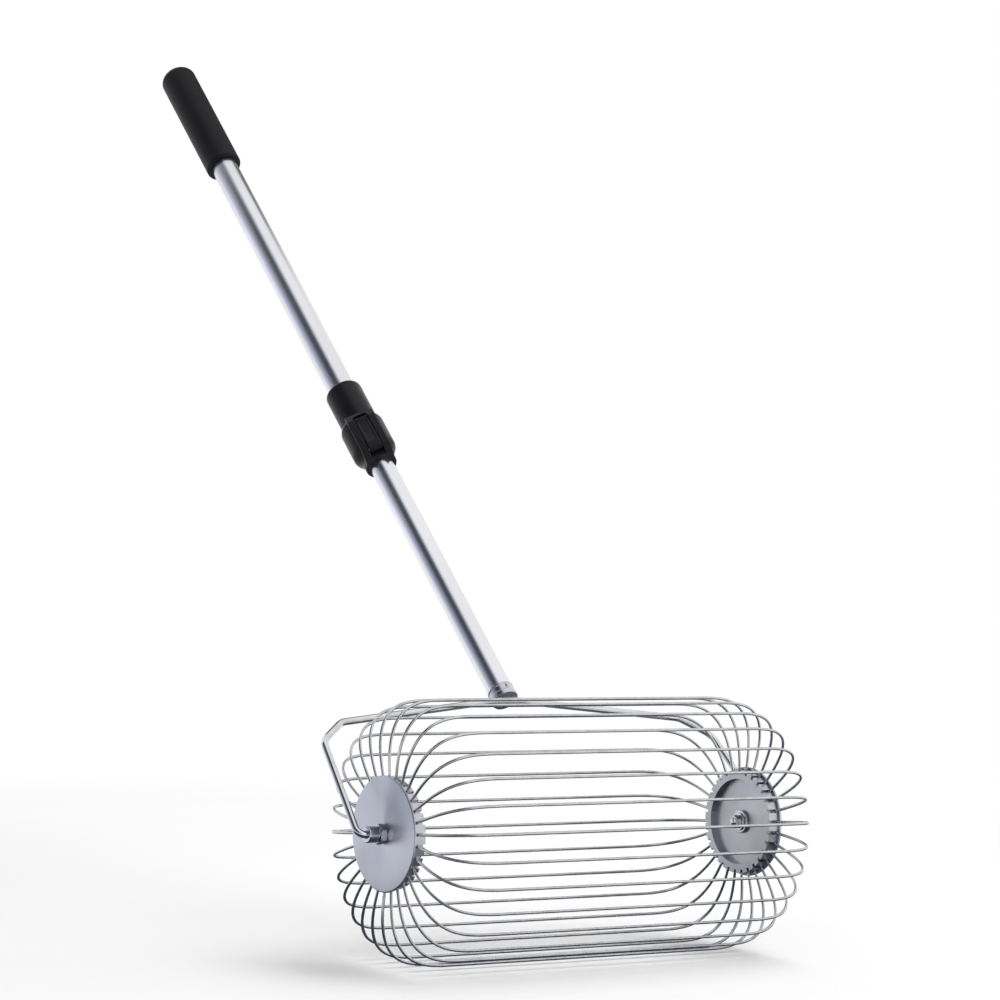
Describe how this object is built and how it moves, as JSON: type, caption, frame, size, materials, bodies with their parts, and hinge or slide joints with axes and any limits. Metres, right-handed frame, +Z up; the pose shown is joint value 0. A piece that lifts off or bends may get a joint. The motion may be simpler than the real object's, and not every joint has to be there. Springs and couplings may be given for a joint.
{
  "type": "rolling ball picker",
  "caption": "Rolling cage of bent wires between end discs, turning in a bent rod yoke, with a telescoping tube handle, a flip lock and a foam grip.",
  "frame": {"origin": "on the floor under the middle of the bounding box, with the picker standing on its cage and the handle leaning back", "axes": "+X along the cage axis, +Y backwards, the way the handle leans, +Z up"},
  "size_m": [0.556, 1.12, 1.035],
  "materials": {
    "wire_steel": "polished",
    "ring_steel": "satin",
    "disc_steel": "satin",
    "nut_steel": "polished",
    "dark_steel": "satin",
    "tube_aluminium": "satin",
    "black_plastic": "satin",
    "black_foam": "matte"
  },
  "bodies": {
    "frame": {"yoke_rod": "wire_steel", "pole_socket": "nut_steel", "lower_tube": "tube_aluminium", "guide_bush": "black_plastic", "left_keeper_nut": "nut_steel", "left_washer": "nut_steel", "left_collar": "nut_steel", "right_keeper_nut": "nut_steel", "right_washer": "nut_steel", "right_collar": "nut_steel"},
    "cage": {"wire_01": "wire_steel", "wire_02": "wire_steel", "wire_03": "wire_steel", "wire_04": "wire_steel", "wire_05": "wire_steel", "wire_06": "wire_steel", "wire_07": "wire_steel", "wire_08": "wire_steel", "wire_09": "wire_steel", "wire_10": "wire_steel", "wire_11": "wire_steel", "wire_12": "wire_steel", "wire_13": "wire_steel", "wire_14": "wire_steel", "wire_15": "wire_steel", "wire_16": "wire_steel", "wire_17": "wire_steel", "wire_18": "wire_steel", "wire_19": "wire_steel", "wire_20": "wire_steel", "wire_21": "wire_steel", "wire_22": "wire_steel", "wire_23": "wire_steel", "wire_24": "wire_steel", "wire_25": "wire_steel", "wire_26": "wire_steel", "wire_27": "wire_steel", "wire_28": "wire_steel", "wire_29": "wire_steel", "wire_30": "wire_steel", "left_notched_ring": "ring_steel", "left_end_disc": "disc_steel", "left_hub_bush": "dark_steel", "left_hub_nut": "nut_steel", "right_notched_ring": "ring_steel", "right_end_disc": "disc_steel", "right_hub_bush": "dark_steel", "right_hub_nut": "nut_steel"},
    "upper_pole": {"upper_tube": "tube_aluminium", "lock_body": "black_plastic", "clamp_shoe": "dark_steel", "lever_pin": "nut_steel", "foam_grip": "black_foam"},
    "lock_lever": {"lock_lever": "black_plastic"}
  },
  "joints": [
    {"name": "cage_spin", "type": "hinge", "parent": "frame", "child": "cage", "pos_m": [0, -0.41913, 0.14156], "axis": [1, 0, 0], "continuous": true},
    {"name": "pole_slide", "type": "slide", "parent": "frame", "child": "upper_pole", "axis": [0, 0.7396, 0.673], "range_m": [-0.34, 0.1]},
    {"name": "lever_hinge", "type": "hinge", "parent": "upper_pole", "child": "lock_lever", "pos_m": [-0.0128, -0.00489, 0.54514], "axis": [0.8387, -0.3665, 0.4028], "range_deg": [0, 100]}
  ]
}
